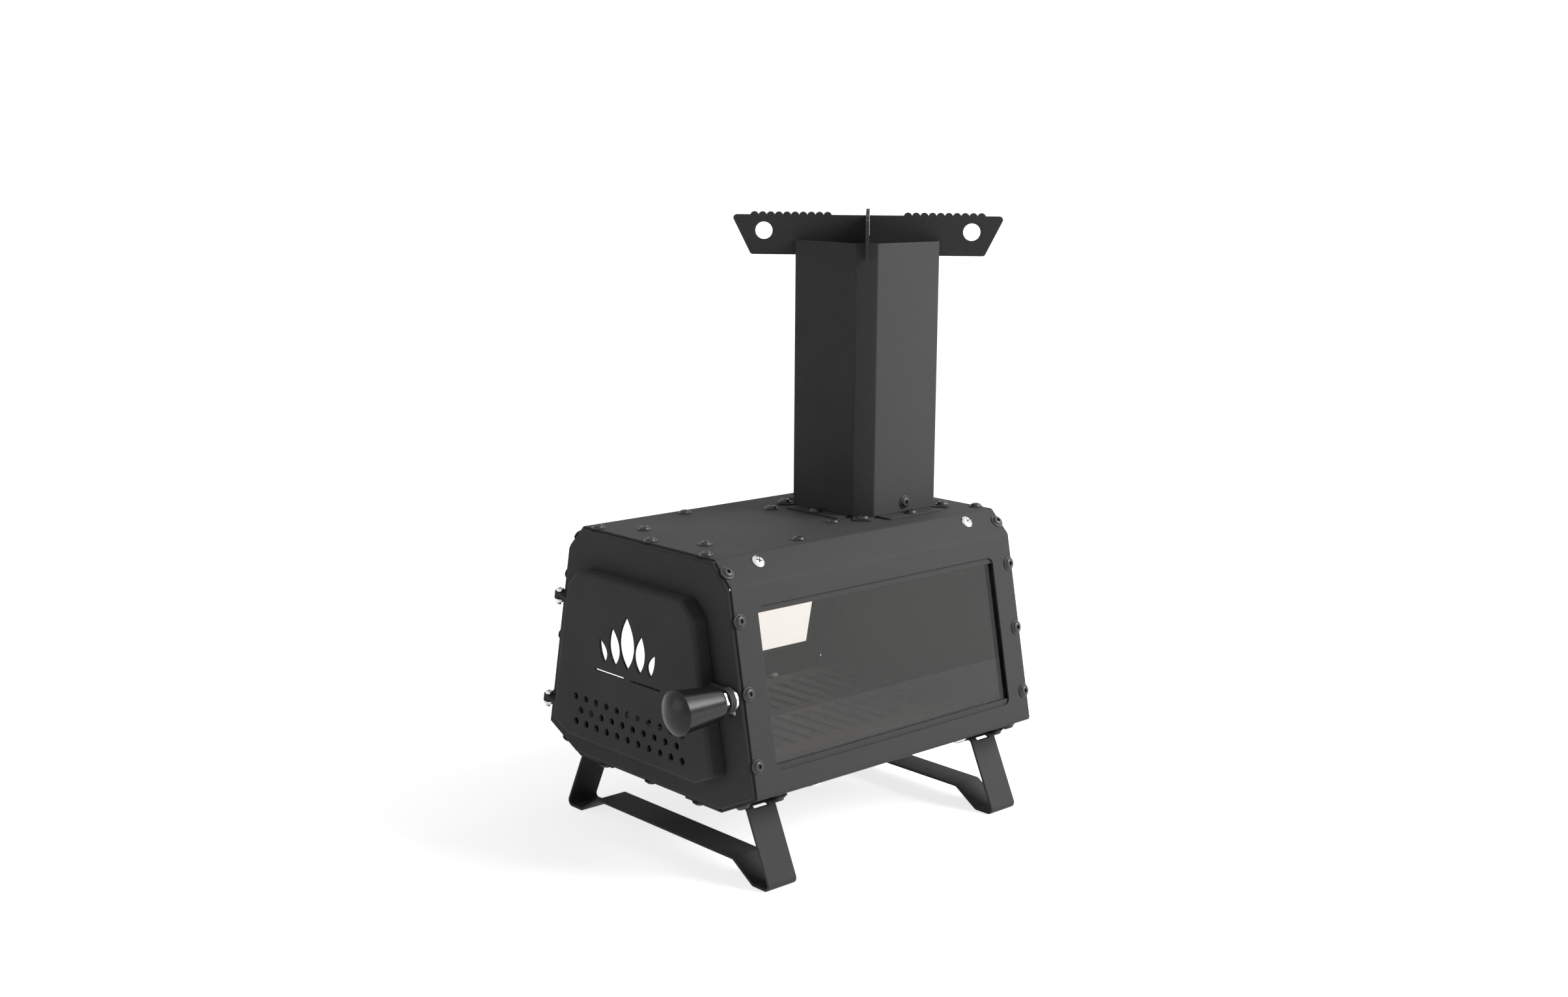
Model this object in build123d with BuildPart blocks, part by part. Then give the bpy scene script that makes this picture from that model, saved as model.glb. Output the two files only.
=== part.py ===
from build123d import *
import os
from math import atan2, cos, degrees, radians, sin

# Fire box: one folded wrapper of steel sheet, octagonal in section, sizes over the sheet
sheet = 1.5
bend_radius = 3.0
seam_gap = 0.2
body_length = 325.0
body_height = 201.0
shoulder_drop = 19.5
hip_height = 21.0
top_half = 84.0
shoulder_half = 103.5
hip_half = 135.0
hip_width = 42.5
lip_half = 48.0
base_height = 58.5

# End plates: trays whose flanges slide inside the wrapper
plate_proud = 3.5
flange_depth = 15.0
notch_width = 2.2

# Black button screws with a flange, M5, and their nuts
screw_radius = 2.5
screw_clearance = 0.25
flange_head_radius = 5.9
flange_head_height = 0.9
button_radius = 4.6
button_top_radius = 3.0
button_height = 2.8
nut_flats = 8.0
nut_height = 3.6
screw_tail = 0.6
end_screw_depth = 7.5
top_screw_pitch = 69.0
side_screw_pitch = 56.0
floor_screw_pitch = 61.0

# Windows in the slanted sides
window_side_margin = 17.53
window_end_margin = 27.0
window_corner_radius = 6.0
glass_thickness = 4.0
glass_overlap_top = 8.0
glass_overlap_bottom = 13.7
glass_overlap_end = 5.5
glass_play = 0.3
rail_sheet = 1.2
rail_lip = 5.0
rail_end_gap = 2.0
rail_leg = 24.0
truss_head_radius = 5.6
truss_head_height = 2.2
truss_shoulder_radius = 4.8
truss_shoulder_height = 1.3
truss_top_radius = 2.5
window_screw_pitch_top = 240.0
window_screw_pitch_bottom = 170.0
window_screw_inset_top = 18.8
window_screw_inset_bottom = 16.7

# Hob doubler under the cooking area
hob_sheet = 3.0
hob_width = 158.0
hob_length = 164.0
hob_corner = 22.0
hob_depth = 102.0
hob_screw_row = 70.0
hob_screw_near = 39.0
hob_screw_far = 72.0

# Chimney: square tube with cut corners over a flanged collar
chimney_depth = 246.5
chimney_width = 100.0
chimney_corner = 13.0
chimney_sheet = 1.5
chimney_bend = 2.5
chimney_height = 232.0
tube_gap = 0.2
collar_play = 0.3
collar_height = 24.0
tab_reach = 14.0
tab_half = 32.0
corner_tab_half = 8.5
tab_screw_reach = 8.0
tab_corner_radius = 3.0
chimney_screw_height = 10.0

# Pot support: two scalloped blades crossed in slots of the chimney corners
blade_thickness = 3.0
blade_slot_play = 0.3
blade_top_half = 117.5
blade_bottom_half = 100.5
blade_height = 34.0
blade_seat_depth = 13.0
blade_seat_gap = 0.2
blade_corner_radius = 3.0
blade_hole_radius = 7.5
blade_hole_reach = 89.3
blade_hole_height = 20.4
scallop_radius = 3.6
scallop_pitch = 7.0
scallop_count = 10
scallop_sink = 1.0
scallop_start = 20.0

# Leg frames: one flat strip each, bent into two feet and a raised crossbar
leg_strip = 29.2
leg_sheet = 2.0
leg_bend_radius = 4.0
leg_depth_front = 18.3
leg_rear_margin = 17.0
foot_inset = 1.0
foot_length = 21.5
crossbar_ramp = 23.8
crossbar_rise = 15.0
leg_root_inset = 12.4
leg_flange_inset = 1.5
ear_reach = 13.2
ear_width = 16.5
ear_corner_radius = 6.0
leg_screw_inset = 9.8
leg_screw_reach = 6.8
leg_slot_length = 15.0
leg_slot_height = 2.6

# Door: a tray with cut corners, hung on the left
door_sheet = 2.0
door_stand = 15.0
door_gap = 0.6
door_bend_radius = 3.5
door_corner_radius = 5.0
door_shift = -3.0
door_top = 168.0
door_shoulder = 155.0
door_hip = 34.0
door_bottom = 24.5
door_margin = 27.7
door_top_cut = 14.2
door_hip_cut = 21.25
door_overlap = 13.0
vent_radius = 3.15
vent_pitch = 13.9
vent_row_pitch = 10.7
vent_row_height = 50.0
vent_count = 11
flame_base = 98.0
flame_gap = 17.0
flame_height = 44.0
flame_width = 17.0
flame_shrink = 0.28
flame_crowding = 0.06
flame_lean = 3.0
flame_belly = 0.3
hearth_slot = 86.0
hearth_slot_width = 1.8
hearth_bridge = 8.0
hearth_drop = 8.0

# Hinge: stacked ears on bolts along the slanted left edge
hinge_inset = 7.0
hinge_stand = 7.0
hinge_upper = 142.0
hinge_lower = 48.7
ear_radius = 4.5
ear_thickness = 3.0
ear_play = 0.3
hinge_bolt_radius = 2.0
running_fit = 0.06
hinge_head_radius = 3.6
hinge_head_height = 2.6
hinge_head_edge = 1.3
hinge_head_top_radius = 2.2
hinge_nut_flats = 7.0
hinge_nut_height = 3.2
hinge_bolt_tail = 2.5

# Latch: bullet knob on a spindle through the ear of the door
latch_edge_inset = 12.3
latch_height = 96.0
latch_ear_radius = 10.0
latch_ear_sheet = 2.0
latch_boss_radius = 10.0
latch_boss_length = 3.0
washer_radius = 10.2
washer_thickness = 2.0
washer_gap = 1.2
spindle_radius = 5.0
spindle_tail_radius = 4.0
latch_nut_flats = 16.0
latch_nut_height = 5.0
latch_play = 0.2
knob_length = 47.0
knob_radius = 17.5
knob_base_radius = 13.2
knob_base_round = 3.0
knob_dome = 6.0
knob_bore_depth = 20.0
tongue_width = 8.0
tongue_length = 13.0
tongue_thickness = 3.0
tongue_gap = 1.0
latch_slot_width = 10.0
latch_slot_play = 1.5
tongue_screw_radius = 2.5
tongue_head_radius = 3.8
tongue_head_height = 2.0

# Fire grate standing on the floor plate
grate_margin = 7.5
grate_length = 262.0
grate_sheet = 2.0
grate_height = 27.0
grate_slot_length = 62.0
grate_slot_width = 7.0
grate_slot_pitch = 17.5
grate_rows = 14

# Places that follow from the sizes above: origin under the middle of the whole stove
latch_ear_back = washer_gap + washer_thickness + latch_play
boss_back = latch_ear_back + latch_ear_sheet
nut_back = boss_back + latch_boss_length + latch_play
knob_back = nut_back + latch_nut_height
knob_reach = knob_back + knob_length
blade_taper = (blade_top_half - blade_bottom_half) / blade_height
tip_inset = blade_corner_radius * (blade_taper + Vector(1, blade_taper, 0).length - 1)
blade_reach = (blade_top_half - tip_inset + blade_thickness / 2) * cos(radians(45))
front_y = (knob_reach - chimney_depth - blade_reach) / 2
front_plane = Plane((0, front_y, base_height), x_dir=(1, 0, 0), z_dir=(0, -1, 0))
top_plane = Plane((0, front_y, base_height + body_height), x_dir=(1, 0, 0), z_dir=(0, 0, 1))
shoulder_height = body_height - shoulder_drop
floor_half = hip_half - hip_width
side_slope = (hip_half - shoulder_half) / (shoulder_height - hip_height)
latch_x = hip_half - (latch_height - hip_height) * side_slope - latch_edge_inset
leg_depth_rear = body_length - leg_rear_margin - leg_strip
foot_outer = hip_half - foot_inset
foot_inner = foot_outer - foot_length
crossbar_half = foot_inner - crossbar_ramp
window_length = body_length - 2 * window_end_margin
side_length = Vector(hip_half - shoulder_half, shoulder_height - hip_height).length
window_height = side_length - 2 * window_side_margin
grate_width = 2 * (floor_half - grate_margin)
flange_inset = sheet + seam_gap
plate_floor = 2 * sheet + seam_gap
corners = [
    (-top_half, body_height),
    (top_half, body_height),
    (shoulder_half, shoulder_height),
    (hip_half, hip_height),
    (floor_half, 0),
    (-floor_half, 0),
    (-hip_half, hip_height),
    (-shoulder_half, shoulder_height),
]
top_wall, chamfer_right, side_right, hip_right, floor_wall, hip_left, side_left, chamfer_left = range(8)
chimney_middle = (0, chimney_depth)


def wall_plane(wall):
    """Plane on the outside of a wall: x along it, clockwise from the front, y rearward, z outward."""
    start_x, start_z = corners[wall]
    end_x, end_z = corners[(wall + 1) % len(corners)]
    middle = ((start_x + end_x) / 2, front_y, base_height + (start_z + end_z) / 2)
    run = Vector(end_x - start_x, 0, end_z - start_z)
    return Plane(middle, x_dir=run, z_dir=run.cross(Vector(0, 1, 0)))


def wall_spots(wall, points, lift=0.0):
    """Locations on a wall, given by distance from its middle and depth behind the front face."""
    return [wall_plane(wall).location * Location((across, depth, lift)) for across, depth in points]


def end_spots(depth):
    """Screw locations of one end plate: those through the walls, then those through the floor."""
    pitches = {
        top_wall: (-top_screw_pitch, 0, top_screw_pitch),
        chamfer_right: (0,),
        side_right: (-side_screw_pitch, 0, side_screw_pitch),
        hip_right: (0,),
        hip_left: (0,),
        side_left: (-side_screw_pitch, 0, side_screw_pitch),
        chamfer_left: (0,),
    }
    walls = []
    for wall, row in pitches.items():
        walls += wall_spots(wall, [(step, depth) for step in row])
    floor = wall_spots(floor_wall, [(-floor_screw_pitch, depth), (floor_screw_pitch, depth)])
    floor += wall_spots(floor_wall, [(0, depth)], lift=-sheet)
    return walls, floor


def sunk(spots, depth):
    """The same locations moved inward, against their outward Z."""
    return [spot * Location((0, 0, -depth)) for spot in spots]


def octagon(depth, inset, corner_radius, floor_rise=0.0):
    """Section of the fire box as a face behind the front, every wall moved inward by the inset."""
    with BuildSketch(front_plane.offset(-depth)) as section:
        with BuildLine():
            Polyline(*corners, close=True)
        make_face()
        if inset > 0:
            offset(amount=-inset, kind=Kind.INTERSECTION, mode=Mode.REPLACE)
        if floor_rise > inset:
            with Locations((0, floor_rise)):
                Rectangle(2 * hip_half, 2 * floor_rise, align=(Align.CENTER, Align.MAX), mode=Mode.SUBTRACT)
        if corner_radius > 0:
            fillet(section.vertices(), radius=corner_radius)
    return section.sketch


def turned_screw(radii, heights, shank_radius, shank_length):
    """Screw on Z, its seat at Z 0: head radii at rising heights above, and the shank below."""
    with BuildPart() as screw:
        with BuildSketch(Plane.XZ):
            with BuildLine():
                outline = [(0, -shank_length), (shank_radius, -shank_length), (shank_radius, 0)]
                outline += list(zip(radii, heights))
                outline += [(0, heights[-1])]
                Polyline(*outline, close=True)
            make_face()
        revolve(axis=Axis.Z)
    return screw.part


def button_screw(shank_length):
    """Black button screw with its flange."""
    radii = (flange_head_radius, flange_head_radius, button_radius, button_top_radius)
    heights = (0, flange_head_height, flange_head_height, button_height)
    return turned_screw(radii, heights, screw_radius, shank_length)


def truss_screw(shank_length):
    """Bright screw with a low truss head."""
    radii = (truss_head_radius, truss_shoulder_radius, truss_top_radius)
    heights = (0, truss_shoulder_height, truss_head_height)
    return turned_screw(radii, heights, screw_radius, shank_length)


def hex_nut(flats, height, bore_radius):
    """Hexagon nut on Z, its seat at Z 0 and its body below."""
    with BuildPart() as nut:
        with BuildSketch():
            RegularPolygon(flats / 2, 6, major_radius=False)
            Circle(bore_radius, mode=Mode.SUBTRACT)
        extrude(amount=-height)
    return nut.part


def save_group(name, *sets):
    """Fasteners of one node as separate solids: each set is a piece and the locations it stands at."""
    with BuildPart() as group:
        for piece, spots in sets:
            with Locations(*spots):
                add(piece)
    save(group.part, name)


def clearance_holes(spots, depth):
    """Cut a screw's clearance hole at every location, down to the depth."""
    with Locations(*spots):
        Cylinder(screw_radius + screw_clearance, 2 * depth, mode=Mode.SUBTRACT)


def save(part, name):
    """Label a finished piece and write its STEP file."""
    part.label = name
    export_step(part, f"parts/{name}.step")


os.makedirs("parts", exist_ok=True)

# Screw places shared by the pieces they join
front_walls, front_floor = end_spots(end_screw_depth)
rear_walls, rear_floor = end_spots(body_length - end_screw_depth)
front_end_spots = front_walls + front_floor
rear_end_spots = rear_walls + rear_floor
window_middle = body_length / 2
hip_length = Vector(hip_half - floor_half, hip_height).length
chamfer_length = Vector(shoulder_half - top_half, body_height - shoulder_height).length
window_top_across = chamfer_length / 2 - window_screw_inset_top
window_bottom_across = window_screw_inset_bottom - hip_length / 2
window_top_points = [
    (window_top_across, window_middle - window_screw_pitch_top / 2),
    (window_top_across, window_middle + window_screw_pitch_top / 2),
]
window_bottom_points = [
    (window_bottom_across, window_middle - window_screw_pitch_bottom / 2),
    (window_bottom_across, window_middle + window_screw_pitch_bottom / 2),
]
window_top_spots = wall_spots(chamfer_right, window_top_points)
window_top_spots += wall_spots(chamfer_left, [(-across, depth) for across, depth in window_top_points])
window_bottom_spots = wall_spots(hip_right, window_bottom_points)
window_bottom_spots += wall_spots(hip_left, [(-across, depth) for across, depth in window_bottom_points])
hob_points = [
    (hob_screw_near, hob_depth - hob_screw_row),
    (hob_screw_far, hob_depth),
    (hob_screw_near, hob_depth + hob_screw_row),
]
hob_spots = wall_spots(top_wall, hob_points + [(-across, depth) for across, depth in hob_points])
tab_flat_reach = chimney_width / 2 + tab_screw_reach
tab_corner_reach = (chimney_width - chimney_corner) * cos(radians(45)) + tab_screw_reach
leg_screw_across = hip_length / 2 - leg_screw_inset
leg_screw_depths = [depth + leg_strip + leg_screw_reach for depth in (leg_depth_front, leg_depth_rear)]
leg_spots = wall_spots(hip_right, [(leg_screw_across, depth) for depth in leg_screw_depths])
leg_spots += wall_spots(hip_left, [(-leg_screw_across, depth) for depth in leg_screw_depths])
tab_spots = []
for turn in range(4):
    for reach, angle in ((tab_flat_reach, 90 * turn), (tab_corner_reach, 90 * turn + 45)):
        place = (reach * cos(radians(angle)), chimney_depth + reach * sin(radians(angle)))
        tab_spots += wall_spots(top_wall, [place])


def chimney_outline(inset, corner_radius):
    """Section of the chimney: a square with cut corners, moved inward by the inset."""
    with BuildSketch(top_plane) as section:
        with Locations(chimney_middle):
            Rectangle(chimney_width, chimney_width)
        chamfer(section.vertices(), length=chimney_corner)
        if inset > 0:
            offset(amount=-inset, kind=Kind.INTERSECTION, mode=Mode.REPLACE)
        if corner_radius > 0:
            fillet(section.vertices(), radius=corner_radius)
    return section.sketch


wrapper_length = body_length - 2 * plate_proud
door_shoulder_half = hip_half - (door_shoulder - hip_height) * side_slope - door_margin
door_hip_half = door_shoulder_half + (door_shoulder - door_hip) * side_slope
collar_inset = chimney_sheet + collar_play
collar_bore_inset = collar_inset + sheet

# Wrapper of the fire box
with BuildPart() as body_shell:
    extrude(octagon(plate_proud, 0, bend_radius), amount=-wrapper_length)
    extrude(octagon(plate_proud, sheet, bend_radius - sheet), amount=-wrapper_length, mode=Mode.SUBTRACT)
    with BuildSketch(front_plane):
        Rectangle(2 * lip_half, 4 * sheet)
    extrude(amount=-body_length, mode=Mode.SUBTRACT)
    for wall in (side_right, side_left):
        with BuildSketch(wall_plane(wall)):
            with Locations((0, body_length / 2)):
                RectangleRounded(window_height, window_length, window_corner_radius)
        extrude(amount=-2 * sheet, mode=Mode.SUBTRACT)
    extrude(chimney_outline(collar_bore_inset, 0), amount=-2 * sheet, mode=Mode.SUBTRACT)
    clearance_holes(front_end_spots + rear_end_spots, 2 * sheet)
    clearance_holes(window_top_spots + window_bottom_spots, 2 * sheet)
    clearance_holes(hob_spots + tab_spots + leg_spots, 2 * sheet)
save(body_shell.part, "body_shell")

# Floor plate lying on the inward lips of the wrapper
floor_plate_half = floor_half - bend_radius
with BuildPart() as floor_plate:
    with BuildSketch(front_plane.offset(-plate_proud)):
        with Locations((0, sheet)):
            Rectangle(2 * floor_plate_half, sheet, align=(Align.CENTER, Align.MIN))
    extrude(amount=-wrapper_length)
    clearance_holes(front_end_spots + rear_end_spots, 3 * sheet)
save(floor_plate.part, "floor_plate")


def door_outline(depth, inset, corner_radius):
    """Outline of the door on a plane behind the front face, moved inward by the inset."""
    half_sizes = [
        (door_shoulder_half - door_top_cut, door_top),
        (door_shoulder_half, door_shoulder),
        (door_hip_half, door_hip),
        (door_hip_half - door_hip_cut, door_bottom),
    ]
    right = [(door_shift + half, height) for half, height in half_sizes]
    left = [(door_shift - half, height) for half, height in reversed(half_sizes)]
    with BuildSketch(front_plane.offset(-depth)) as section:
        with BuildLine():
            Polyline(*right, *left, close=True)
        make_face()
        if inset > 0:
            offset(amount=-inset, kind=Kind.INTERSECTION, mode=Mode.REPLACE)
        fillet(section.vertices(), radius=corner_radius)
    return section.sketch


def end_tray(face_depth, inward):
    """End plate with flanges folded inward and notched corners; inward is 1 in front, -1 behind."""
    with BuildPart() as tray:
        extrude(octagon(face_depth, flange_inset, 0, plate_floor), amount=-inward * flange_depth)
        face_edges = tray.edges().group_by(Axis.Y)[0 if inward > 0 else -1]
        fillet(face_edges, radius=bend_radius)
        hollow_depth = face_depth + inward * sheet
        hollow = octagon(hollow_depth, flange_inset + sheet, 0, plate_floor + sheet)
        extrude(hollow, amount=-inward * flange_depth, mode=Mode.SUBTRACT)
        corner_places = octagon(0, flange_inset, 0, plate_floor).vertices()
        with BuildSketch(front_plane.offset(-face_depth - inward * bend_radius)):
            for place in corner_places:
                spot = front_plane.to_local_coords(Vector(place))
                lean = degrees(atan2(spot.Y - body_height / 2, spot.X))
                with Locations(Location((spot.X, spot.Y), lean)):
                    Rectangle(4 * bend_radius, notch_width)
        extrude(amount=-inward * flange_depth, mode=Mode.SUBTRACT)
    return tray.part


# Hinge axis along the slanted left edge, in front of the plate
left_edge = Vector(side_slope, 0, 1).normalized()
inboard = Vector(left_edge.Z, 0, -left_edge.X)


def hinge_plane(height):
    """Plane square to the hinge axis: x toward the door, y rearward, z up the axis."""
    edge_x = -(hip_half - (height - hip_height) * side_slope)
    edge_point = Vector(edge_x, front_y - hinge_stand, base_height + height)
    return Plane(edge_point + inboard * hinge_inset, x_dir=inboard, z_dir=left_edge)


hinge_planes = [hinge_plane(height) for height in (hinge_upper, hinge_lower)]
door_edge_inset = (door_margin + door_shift) * left_edge.Z
ear_length = door_edge_inset - hinge_inset + door_sheet / 2
ear_bore = hinge_bolt_radius + running_fit
latch_slot_top = latch_height + spindle_radius + latch_slot_play
latch_slot_bottom = latch_height - tongue_length - latch_slot_play
latch_slot_middle = (latch_slot_top + latch_slot_bottom) / 2

# Front plate with the door opening, the hinge ears and the slot of the latch
with BuildPart() as front_plate:
    add(end_tray(0, 1))
    extrude(door_outline(-sheet, door_overlap, door_corner_radius), amount=-3 * sheet, mode=Mode.SUBTRACT)
    with BuildSketch(front_plane):
        with Locations((latch_x, latch_slot_middle)):
            SlotOverall(latch_slot_top - latch_slot_bottom, latch_slot_width, rotation=90)
    extrude(amount=-2 * sheet, mode=Mode.SUBTRACT)
    for plane in hinge_planes:
        with BuildSketch(plane.offset(-ear_play / 2)):
            Circle(ear_radius)
            Rectangle(2 * ear_radius, hinge_stand + sheet / 2, align=(Align.CENTER, Align.MIN))
            Circle(ear_bore, mode=Mode.SUBTRACT)
        extrude(amount=-ear_thickness)
    clearance_holes(front_end_spots, 4 * sheet)
save(front_plate.part, "front_plate")

# Rear plate: the same tray, closed
with BuildPart() as rear_plate:
    add(end_tray(body_length, -1))
    clearance_holes(rear_end_spots + leg_spots[1::2], 4 * sheet)
save(rear_plate.part, "rear_plate")

# Doubler screwed under the cooking area
with BuildPart() as hob_plate:
    with BuildSketch(top_plane.offset(-sheet)) as hob_outline:
        with Locations((0, hob_depth)):
            Rectangle(hob_width, hob_length)
        chamfer(hob_outline.vertices(), length=hob_corner)
    extrude(amount=-hob_sheet)
    clearance_holes(hob_spots, 2 * (sheet + hob_sheet))
save(hob_plate.part, "hob_plate")


def offset_corner(wall, first_depth, second_depth):
    """Where a wall and the next one, each moved inward by its own depth, cross in the section."""
    first = wall_plane(wall)
    second = wall_plane((wall + 1) % len(corners))
    base = Vector(corners[(wall + 1) % len(corners)][0], 0, corners[(wall + 1) % len(corners)][1])
    bend = second.x_dir.dot(first.z_dir)
    turn = second.z_dir.dot(first.z_dir)
    slide = (first_depth - second_depth * turn) / -bend
    place = base - second.z_dir * second_depth + second.x_dir * slide
    return (place.X, place.Z)


def corner_strip(wall, first_depth, second_depth, first_length, second_length):
    """Angle strip folded round a corner of the section, its outer faces at two depths under the walls."""
    first = wall_plane(wall)
    second = wall_plane((wall + 1) % len(corners))
    corner = Vector(corners[(wall + 1) % len(corners)][0], 0, corners[(wall + 1) % len(corners)][1])
    first_line = first_depth + rail_sheet / 2
    second_line = second_depth + rail_sheet / 2
    bend = offset_corner(wall, first_line, second_line)
    start_point = corner - first.x_dir * first_length - first.z_dir * first_line
    end_point = corner + second.x_dir * second_length - second.z_dir * second_line
    start = (start_point.X, start_point.Z)
    end = (end_point.X, end_point.Z)
    strip_start = flange_depth + rail_end_gap
    with BuildPart() as strip:
        with BuildSketch(front_plane.offset(-strip_start)):
            with BuildLine():
                FilletPolyline(start, bend, end, radius=2 * rail_sheet)
            trace(line_width=rail_sheet)
        extrude(amount=-(body_length - 2 * strip_start))
        clearance_holes(window_top_spots + window_bottom_spots, 4 * sheet + 2 * rail_sheet)
    return strip.part


def mirrored(part):
    """The same piece for the left side of the stove."""
    with BuildPart() as twin:
        mirror(part, about=Plane.YZ)
    return twin.part


# Window glass behind each opening, resting on the fold of the lower rail
glass_depth = sheet + rail_sheet + glass_play
glass_height = window_height + glass_overlap_top + glass_overlap_bottom
glass_length = window_length + 2 * glass_overlap_end
glass_drop = (glass_overlap_bottom - glass_overlap_top) / 2
with BuildPart() as window_glass_right:
    with BuildSketch(wall_plane(side_right).offset(-glass_depth)):
        with Locations((glass_drop, body_length / 2)):
            Rectangle(glass_height, glass_length)
    extrude(amount=-glass_thickness)
save(window_glass_right.part, "window_glass_right")
save(mirrored(window_glass_right.part), "window_glass_left")

# Rails in front of the glass and clips behind it, screwed to the walls above and below
clip_side_depth = glass_depth + glass_thickness + glass_play
lip_length = window_side_margin + rail_lip
rail_kinds = (("window_rail", sheet, sheet), ("glass_clip", clip_side_depth, sheet + rail_sheet))
for kind, side_depth, leg_depth in rail_kinds:
    upper = corner_strip(chamfer_right, leg_depth, side_depth, rail_leg, lip_length)
    lower = corner_strip(side_right, side_depth, leg_depth, lip_length, rail_leg)
    save(upper, f"{kind}_upper_right")
    save(mirrored(upper), f"{kind}_upper_left")
    save(lower, f"{kind}_lower_right")
    save(mirrored(lower), f"{kind}_lower_left")

# Screws through the foot of the tube into the collar
chimney_side_spots = []
chimney_screw_z = base_height + body_height + chimney_screw_height
for side in (1, -1):
    place = (side * chimney_width / 2, front_y + chimney_depth, chimney_screw_z)
    chimney_side_spots.append(Plane(place, x_dir=(0, 1, 0), z_dir=(side, 0, 0)).location)

# Collar of the chimney: a sleeve with tabs folded outward onto the top
with BuildPart() as chimney_collar:
    with BuildSketch(top_plane) as tabs:
        add(top_plane.to_local_coords(chimney_outline(collar_inset, 0)))
        with Locations(chimney_middle):
            flat_reach = chimney_width / 2 + tab_reach
            corner_reach = tab_corner_reach - tab_screw_reach + tab_reach
            RectangleRounded(2 * flat_reach, 2 * tab_half, tab_corner_radius)
            RectangleRounded(2 * tab_half, 2 * flat_reach, tab_corner_radius)
            RectangleRounded(2 * corner_reach, 2 * corner_tab_half, tab_corner_radius, rotation=45)
            RectangleRounded(2 * corner_reach, 2 * corner_tab_half, tab_corner_radius, rotation=-45)
    extrude(amount=sheet)
    extrude(chimney_outline(collar_inset, 0), amount=collar_height)
    extrude(chimney_outline(collar_bore_inset, 0), amount=2 * collar_height, both=True, mode=Mode.SUBTRACT)
    clearance_holes(tab_spots, 2 * sheet)
    clearance_holes(chimney_side_spots, 4 * sheet)
save(chimney_collar.part, "chimney_collar")

# Chimney tube standing on the tabs, with seats for the blades cut in its corners
tube_bottom = sheet + tube_gap
with BuildPart() as chimney_tube:
    extrude(chimney_outline(0, chimney_bend), amount=chimney_height)
    bore = chimney_outline(chimney_sheet, chimney_bend - chimney_sheet)
    extrude(bore, amount=chimney_height, mode=Mode.SUBTRACT)
    extrude(chimney_outline(0, 0), amount=tube_bottom, mode=Mode.SUBTRACT)
    with BuildSketch(top_plane.offset(chimney_height)):
        with Locations(chimney_middle):
            Rectangle(2 * chimney_width, blade_thickness + blade_slot_play, rotation=45)
            Rectangle(2 * chimney_width, blade_thickness + blade_slot_play, rotation=-45)
    extrude(amount=-blade_seat_depth, mode=Mode.SUBTRACT)
    clearance_holes(chimney_side_spots, 3 * sheet)
save(chimney_tube.part, "chimney_tube")

# Pot support: two blades halved together where they cross
blade_base = body_height + chimney_height - blade_seat_depth + blade_seat_gap
blade_middle = (0, front_y + chimney_depth, base_height + blade_base)
lap_height = blade_height / 2
lap_width = blade_thickness + blade_slot_play


def scalloped_blade(direction, lap_from_top):
    """Blade standing across the chimney along a diagonal, with round teeth along its upper edge."""
    plane = Plane(blade_middle, x_dir=direction, z_dir=Vector(*direction).cross(Vector(0, 0, 1)))
    with BuildPart() as blade:
        with BuildSketch(plane) as side:
            with BuildLine():
                foot = [(-blade_bottom_half, 0), (blade_bottom_half, 0)]
                head = [(blade_top_half, blade_height), (-blade_top_half, blade_height)]
                Polyline(*foot, *head, close=True)
            make_face()
            fillet(side.vertices(), radius=blade_corner_radius)
            row_middle = blade_top_half - scallop_start - (scallop_count - 1) * scallop_pitch / 2
            row_height = blade_height - scallop_sink
            with Locations((row_middle, row_height), (-row_middle, row_height)):
                with GridLocations(scallop_pitch, 0, scallop_count, 1):
                    Circle(scallop_radius)
            with Locations((blade_hole_reach, blade_hole_height), (-blade_hole_reach, blade_hole_height)):
                Circle(blade_hole_radius, mode=Mode.SUBTRACT)
            lap_side = Align.MIN if lap_from_top else Align.MAX
            lap_play = -blade_slot_play / 2 if lap_from_top else blade_slot_play / 2
            with Locations((0, lap_height + lap_play)):
                Rectangle(lap_width, blade_height, align=(Align.CENTER, lap_side), mode=Mode.SUBTRACT)
        extrude(amount=blade_thickness / 2, both=True)
    return blade.part


save(scalloped_blade((1, 1, 0), True), "lower_blade")
save(scalloped_blade((1, -1, 0), False), "upper_blade")

# Leg frames
hip_outward = wall_plane(hip_right).z_dir
hip_run = wall_plane(hip_right).x_dir


def hip_point(from_floor, drop):
    """Point below the right hip, given by distance from the floor corner and drop off the sheet."""
    place = Vector(floor_half, 0, 0) - hip_run * from_floor + hip_outward * drop
    return (place.X, place.Z)


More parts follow.
